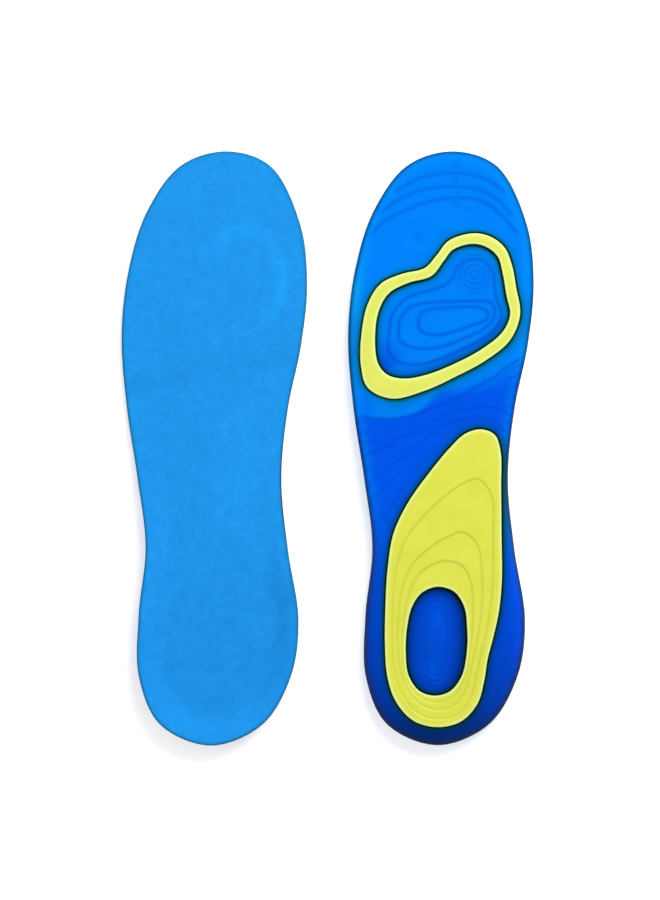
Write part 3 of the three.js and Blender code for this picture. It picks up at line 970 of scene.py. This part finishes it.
def blue_gel():
    """Satin elastomer, bright where it is thin over the velour and deep where it is thick."""
    nodes = Nodes("blue_gel")
    cloud = nodes.noise(0.012, detail=2, stretch=(0.6, 1.6, 1))
    skin = nodes.noise(0.0012, detail=3)
    thin_blue, narrow_shade_blue, scored_shade_blue = linear(12, 138, 205), linear(10, 77, 113), linear(0, 49, 163)
    groove, groove_shade_tint, rim_shade_tint = linear(6, 50, 48), (1.0, 0.64, 0.12, 1), (0.5, 0.29, 0.17, 1)
    # The depth carries painted shade and highlights besides the gel's thickness.
    blue = nodes.ramp(nodes.attribute("depth"), GEL_BLUES)
    blue = nodes.times(blue, nodes.mottled(cloud, grey(0.94), grey(1.0)))
    blue = nodes.mix(nodes.attribute("thin"), blue, thin_blue)
    # Painted shade on the narrow strips beside the yellow pieces.
    blue = nodes.painted("narrow", 0.9, blue, narrow_shade_blue)
    # Painted shade in the scored lines and gate marks.
    blue = nodes.painted("lines", 0.42, blue, scored_shade_blue)
    # Painted shade in and beside the grooves round the yellow pieces.
    shade = nodes.attribute("shade")
    blue = nodes.times(blue, groove_shade_tint, shade)
    blue = nodes.mix(nodes.ranged(shade, 0.45, 1.0, 0.0, 0.72), blue, groove)
    # Painted shade along the rounded rim.
    nodes.colour(nodes.times(blue, rim_shade_tint, nodes.attribute("rim")))
    nodes.rough(cloud, 0.5, 0.6)
    nodes.bump(skin, strength=0.1, distance=0.0001)
    nodes.set("IOR", 1.15)
    nodes.set("Specular IOR Level", 0.22)
    nodes.set("Specular Tint", linear(90, 170, 255))
    return nodes.material


RING_YELLOWS = (linear(193, 199, 79), linear(197, 202, 85))
INSERT_YELLOWS = (linear(192, 195, 62), linear(196, 198, 67))


def yellow_gel(name, low, high):
    """The firmer yellow elastomer, a little uneven in tone."""
    nodes = Nodes(name)
    cloud = nodes.noise(0.009, detail=3)
    skin = nodes.noise(0.0012, detail=3)
    scored, edge_highlight, side_wall_shade = linear(135, 131, 15), linear(197, 220, 152), linear(53, 72, 17)
    yellow = nodes.mottled(cloud, low, high)
    # Painted shade in the terrace lines.
    yellow = nodes.painted("lines", 0.24, yellow, scored)
    # A painted highlight along the rounded edges.
    yellow = nodes.painted("edge_highlight", 0.75, yellow, edge_highlight)
    # Painted shade on the side walls.
    nodes.colour(nodes.painted("shade", 0.8, yellow, side_wall_shade))
    nodes.rough(cloud, 0.4, 0.5)
    nodes.bump(skin, strength=0.1, distance=0.0001)
    nodes.set("Specular IOR Level", 0.3)
    return nodes.material


def melt_film():
    """Thin milky film."""
    nodes = Nodes("melt_film")
    cloud = nodes.noise(0.004)
    nodes.colour(nodes.mottled(cloud, linear(222, 228, 234), linear(238, 242, 246)))
    nodes.bump(cloud, strength=0.1, distance=0.0001)
    nodes.set("Roughness", 0.5)
    return nodes.material


def floor_paper():
    """White paper on a light table, so that shadows on it stay faint."""
    nodes = Nodes("floor_paper")
    grain = nodes.noise(0.002)
    nodes.colour(nodes.mottled(grain, linear(247, 247, 247), linear(249, 249, 249)))
    nodes.set("Roughness", 0.9)
    nodes.set("Specular IOR Level", 0.1)
    nodes.set("Emission Color", grey(1))
    nodes.set("Emission Strength", 0.3)
    return nodes.material


# ---- The pair ----


def placed(side, turned):
    """A turned insole's place: its heel insert fills the CAD one's box, with their exposed faces level."""
    low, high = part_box(f"{side}_heel_insert")
    loop = [turned @ Vector((x, y, 0)) for x, y in insert_outer.at]
    across, along, up = (np.array([p[axis] for p in loop]) for axis in range(3))
    height = low.z - up.min() if side == "left" else high.z - up.max()
    offset = Vector((low.x - across.min(), high.y - along.max(), height))
    return Matrix.Translation(offset) @ turned


def face_down():
    """The right insole's turn: over, and tilted as it lies on its heel's rim and its toe."""
    heel_y, toe_y = -84.0, 134.0
    tilt = math.atan((rim_top(0.0, heel_y) - RIM_TOP[0]) / (toe_y - heel_y))
    return Matrix.Rotation(-tilt, 4, "X") @ Matrix.Diagonal((1, 1, -1, 1)) @ Matrix.Scale(MM, 4)


def add_piece(name, mesh, place, material):
    """A copy of a mesh, put in place on one insole, standing for the CAD node of the same name."""
    mesh = mesh.copy()
    mesh.transform(place)
    if place.determinant() < 0:
        mesh.flip_normals()
    mesh.materials.append(material)
    mesh.shade_smooth()
    sharp_degrees = 50
    mesh.set_sharp_from_angle(angle=math.radians(sharp_degrees))
    piece = bpy.data.objects.new(name + "_fine", mesh)
    bpy.context.scene.collection.objects.link(piece)
    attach(piece, name.split("_")[0] + "_insole")
    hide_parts(name)
    return piece


def cover_area():
    """The velour's cut area in square metres, by the shoelace formula."""
    x, y = outline.moved(COVER_INSET).at.T * MM
    return float(abs(np.dot(x, np.roll(y, -1)) - np.dot(y, np.roll(x, -1))) / 2)


def insole_parts():
    """The mesh, material and material slot of each of an insole's pieces."""
    return {
        "top_cover": (top_cover(), velour(), "velour_cover"),
        "bonding_film": (bonding_film(), melt_film(), "melt_film"),
        "gel_body": (gel_body(), blue_gel(), "blue_gel"),
        "forefoot_ring": (forefoot_ring(), yellow_gel("yellow_ring", *RING_YELLOWS), "yellow_gel"),
        "heel_insert": (heel_insert(), yellow_gel("yellow_insert", *INSERT_YELLOWS), "yellow_gel"),
    }


def build_pair():
    """Both insoles, each from a copy of the same five meshes."""
    parts = insole_parts()
    flat_size = tuple(np.ptp(outline.moved(COVER_INSET).at, axis=0) * MM)
    for side, turned in (("left", Matrix.Scale(MM, 4)), ("right", face_down())):
        place = placed(side, turned)
        for part, (mesh, material, slot) in parts.items():
            add_piece(f"{side}_{part}", mesh, place, material)
        cover_area()


# ---- Stage ----


def add_floor():
    """A plain pale floor, which isn't part of the object."""
    width, drop = 8, 0.0001  # it lies just under the surface that the insoles lie on
    bpy.ops.mesh.primitive_plane_add(size=width, location=(0, 0, -drop))
    floor = bpy.context.object
    floor.name = "floor"
    floor.data.materials.append(floor_paper())


def add_light(name, azimuth, elevation, distance, size, power):
    """A square softbox aimed at the pair. Azimuth 0 stands at the toes, and positive ones on the right."""
    a, e = math.radians(azimuth), math.radians(elevation)
    towards = Vector((math.sin(a) * math.cos(e), math.cos(a) * math.cos(e), math.sin(e)))
    data = bpy.data.lights.new(name, "AREA")
    data.size = size
    data.energy = power
    light = bpy.data.objects.new(name, data)
    light.location = towards * distance
    light.rotation_mode = "QUATERNION"
    light.rotation_quaternion = towards.to_track_quat("Z", "Y")
    bpy.context.scene.collection.objects.link(light)


def add_world(overhead, around):
    """A white room, dim straight overhead and bright at its walls."""
    world = bpy.data.worlds.new("room")
    world.use_nodes = True
    bpy.context.scene.world = world
    tree = world.node_tree
    direction = tree.nodes.new("ShaderNodeTexCoord")
    parts = tree.nodes.new("ShaderNodeSeparateXYZ")
    strength = tree.nodes.new("ShaderNodeMapRange")
    strength.interpolation_type = "SMOOTHSTEP"
    wall_top, ceiling = 0.55, 0.9  # as heights of a direction of length 1
    strength.inputs["From Min"].default_value = wall_top
    strength.inputs["From Max"].default_value = ceiling
    strength.inputs["To Min"].default_value = around
    strength.inputs["To Max"].default_value = overhead
    tree.links.new(direction.outputs["Generated"], parts.inputs["Vector"])
    tree.links.new(parts.outputs["Z"], strength.inputs["Value"])
    tree.links.new(strength.outputs["Result"], tree.nodes["Background"].inputs["Strength"])
    tree.nodes["Background"].inputs["Color"].default_value = grey(1)


def add_camera():
    """Straight above the pair, toes up, through a long lens."""
    view_height = 0.409  # metres across the pair's plane from the picture's bottom to its top
    aim = (0.0011, -0.0009)
    data = bpy.data.cameras.new("camera")
    data.lens = 250
    camera = bpy.data.objects.new("camera", data)
    mean_height = 0.006
    distance = view_height * data.lens / data.sensor_width
    camera.location = (*aim, mean_height + distance)
    bpy.context.scene.collection.objects.link(camera)
    bpy.context.scene.camera = camera


build_pair()
add_floor()
add_light("key", azimuth=30, elevation=42, distance=1.5, size=0.9, power=21.6)
add_light("fill", azimuth=-110, elevation=50, distance=1.6, size=1.2, power=4)
add_world(overhead=0.05, around=1.3)
add_camera()
bpy.context.scene.view_settings.view_transform = "Standard"
